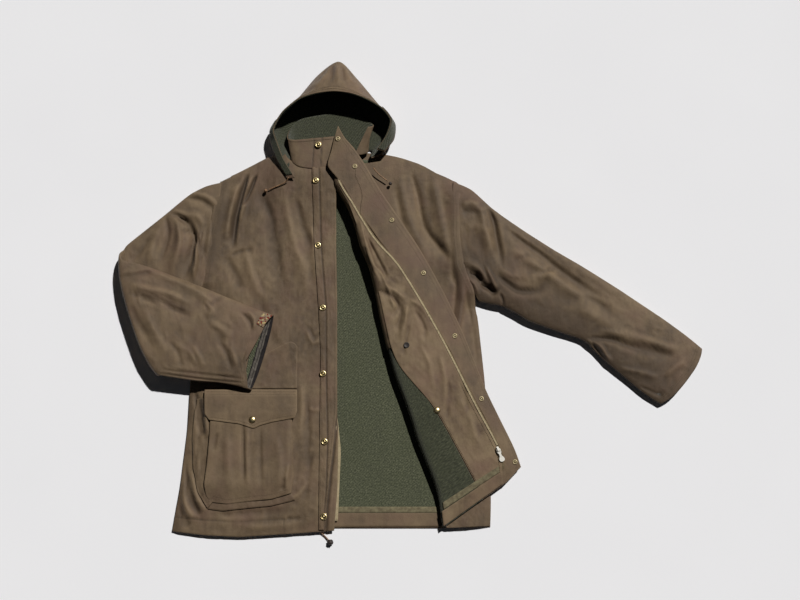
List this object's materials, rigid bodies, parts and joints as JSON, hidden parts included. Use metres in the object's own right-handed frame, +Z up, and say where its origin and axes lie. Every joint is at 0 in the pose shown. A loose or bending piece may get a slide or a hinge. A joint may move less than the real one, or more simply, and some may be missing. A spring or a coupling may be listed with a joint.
{
  "type": "waxed cotton jacket",
  "caption": "Hooded waxed cotton field coat laid open on its back: one sleeve folded in, one out, one front turned back to show a wool lining, cargo pocket, zip and snapped storm flap.",
  "frame": {"origin": "middle of the coat's plan box, without its free cords, on the surface it lies on", "axes": "+X across the coat to the wearer's left, +Y from hem to hood, +Z up from the surface"},
  "size_m": [1.2452, 1.0654, 0.0667],
  "materials": {
    "waxed_cotton": "oiled matt cotton, brown",
    "wool_lining": "woven green wool",
    "zip_tape": "cream tape with brassy teeth",
    "binding": "tan bound edge",
    "cuff_cloth": "grey-brown inner cuff",
    "cuff_tab": "flecked woven tab",
    "brass_snap": "worn brass",
    "bright_zip_metal": "bright nickel",
    "hide_cord": "brown hide",
    "dark_button": "dark horn"
  },
  "bodies": {
    "coat": {"back_shell": "waxed_cotton", "back_lining": "wool_lining", "back_hem_facing": "waxed_cotton", "back_hem_binding": "binding", "front_right_shell": "waxed_cotton", "front_right_placket": "waxed_cotton", "zip_tape_right": "zip_tape", "cargo_pocket_bag": "waxed_cotton", "cargo_pocket_gusset": "waxed_cotton", "cargo_pocket_gusset_bottom": "waxed_cotton", "cargo_pocket_flap": "waxed_cotton", "handwarmer_welt": "waxed_cotton", "front_left_shell": "waxed_cotton", "front_left_lining": "wool_lining", "front_left_facing": "waxed_cotton", "zip_tape_left": "zip_tape", "zip_teeth_left": "zip_tape", "left_hem_band": "waxed_cotton", "left_hem_binding": "binding", "storm_flap": "waxed_cotton", "sleeve_left_shell": "waxed_cotton", "sleeve_right_shell": "waxed_cotton", "cuff_right_lining": "cuff_cloth", "cuff_left_lining": "cuff_cloth", "collar_shell": "waxed_cotton", "collar_lining": "wool_lining", "hood_shell": "waxed_cotton", "hood_lining": "wool_lining", "snap_stud_2": "brass_snap", "snap_stud_3": "brass_snap", "snap_stud_4": "brass_snap", "snap_stud_5": "brass_snap", "snap_stud_6": "brass_snap", "snap_stud_7": "brass_snap", "snap_stud_1": "brass_snap", "snap_socket_1": "brass_snap", "snap_socket_2": "brass_snap", "snap_socket_3": "brass_snap", "snap_socket_4": "brass_snap", "snap_socket_5": "brass_snap", "snap_socket_6": "brass_snap", "snap_socket_7": "brass_snap", "cargo_pocket_snap": "brass_snap", "facing_snap": "brass_snap", "facing_button": "dark_button", "zip_slider": "bright_zip_metal", "cuff_right_tab": "cuff_tab", "hood_cord_right": "hide_cord", "hood_cord_right_knot": "hide_cord", "hood_cord_left": "hide_cord", "hood_cord_left_knot": "hide_cord", "hem_cord": "hide_cord", "hem_cord_knot": "hide_cord"},
    "pull_tab": {"zip_pull_tab": "bright_zip_metal"}
  },
  "joints": [
    {"name": "pull_tab_swing", "type": "hinge", "parent": "coat", "child": "pull_tab", "pos_m": [0.1851, -0.34556, 0.03195], "axis": [-0.9326, -0.361, 0], "range_deg": [0, 150]}
  ]
}
